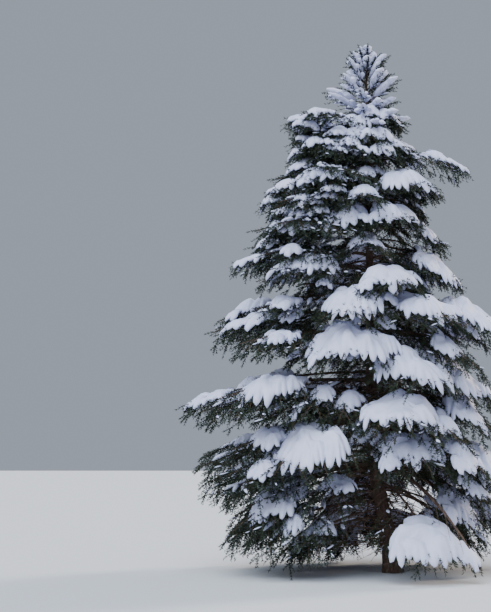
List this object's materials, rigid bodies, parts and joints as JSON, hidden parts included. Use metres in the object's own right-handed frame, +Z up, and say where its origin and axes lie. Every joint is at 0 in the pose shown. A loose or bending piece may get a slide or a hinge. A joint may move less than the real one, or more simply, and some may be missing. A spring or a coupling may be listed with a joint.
{
  "type": "norway spruce tree",
  "caption": "Open-grown Norway spruce under fresh snow: bent trunk, drooping boughs, needle masses and a snow cushion on each.",
  "frame": {"origin": "centre of the flat cut under the trunk, at ground level", "axes": "+Z up along the tree, +X to the picture's right, -Y towards the picture's viewer"},
  "size_m": [4.6641, 3.9247, 7.5],
  "materials": {
    "bark": "rough scaly bark, grey brown",
    "needles": "dark blue-green needles, faintly glossy",
    "snow": "fresh matt snow"
  },
  "bodies": {
    "root": {"trunk": "bark", "bough_skirt_1": "bark", "bough_skirt_2": "bark", "bough_skirt_3": "bark", "bough_skirt_4": "bark", "needles_skirt_1": "needles", "needles_skirt_2": "needles", "needles_skirt_3": "needles", "needles_skirt_4": "needles", "needles_low_1": "needles", "needles_low_2": "needles", "needles_low_3": "needles", "needles_low_4": "needles", "needles_lower_mid_1": "needles", "needles_lower_mid_2": "needles", "needles_lower_mid_3": "needles", "needles_lower_mid_4": "needles", "needles_mid_1": "needles", "needles_mid_2": "needles", "needles_mid_3": "needles", "needles_mid_4": "needles", "needles_upper_mid_1": "needles", "needles_upper_mid_2": "needles", "needles_upper_mid_3": "needles", "needles_upper_mid_4": "needles", "needles_upper_1": "needles", "needles_upper_2": "needles", "needles_upper_3": "needles", "needles_top_1": "needles", "needles_top_2": "needles", "needles_top_3": "needles", "needles_tip": "needles", "snow_skirt_1": "snow", "snow_skirt_2": "snow", "snow_skirt_3": "snow", "snow_skirt_4": "snow", "snow_low_1": "snow", "snow_low_2": "snow", "snow_low_3": "snow", "snow_low_4": "snow", "snow_lower_mid_1": "snow", "snow_lower_mid_2": "snow", "snow_lower_mid_3": "snow", "snow_lower_mid_4": "snow", "snow_mid_1": "snow", "snow_mid_2": "snow", "snow_mid_3": "snow", "snow_mid_4": "snow", "snow_upper_mid_1": "snow", "snow_upper_mid_2": "snow", "snow_upper_mid_3": "snow", "snow_upper_mid_4": "snow", "snow_upper_1": "snow", "snow_upper_2": "snow", "snow_upper_3": "snow", "snow_top_1": "snow", "snow_top_2": "snow", "snow_top_3": "snow", "snow_tip": "snow"}
  },
  "joints": []
}
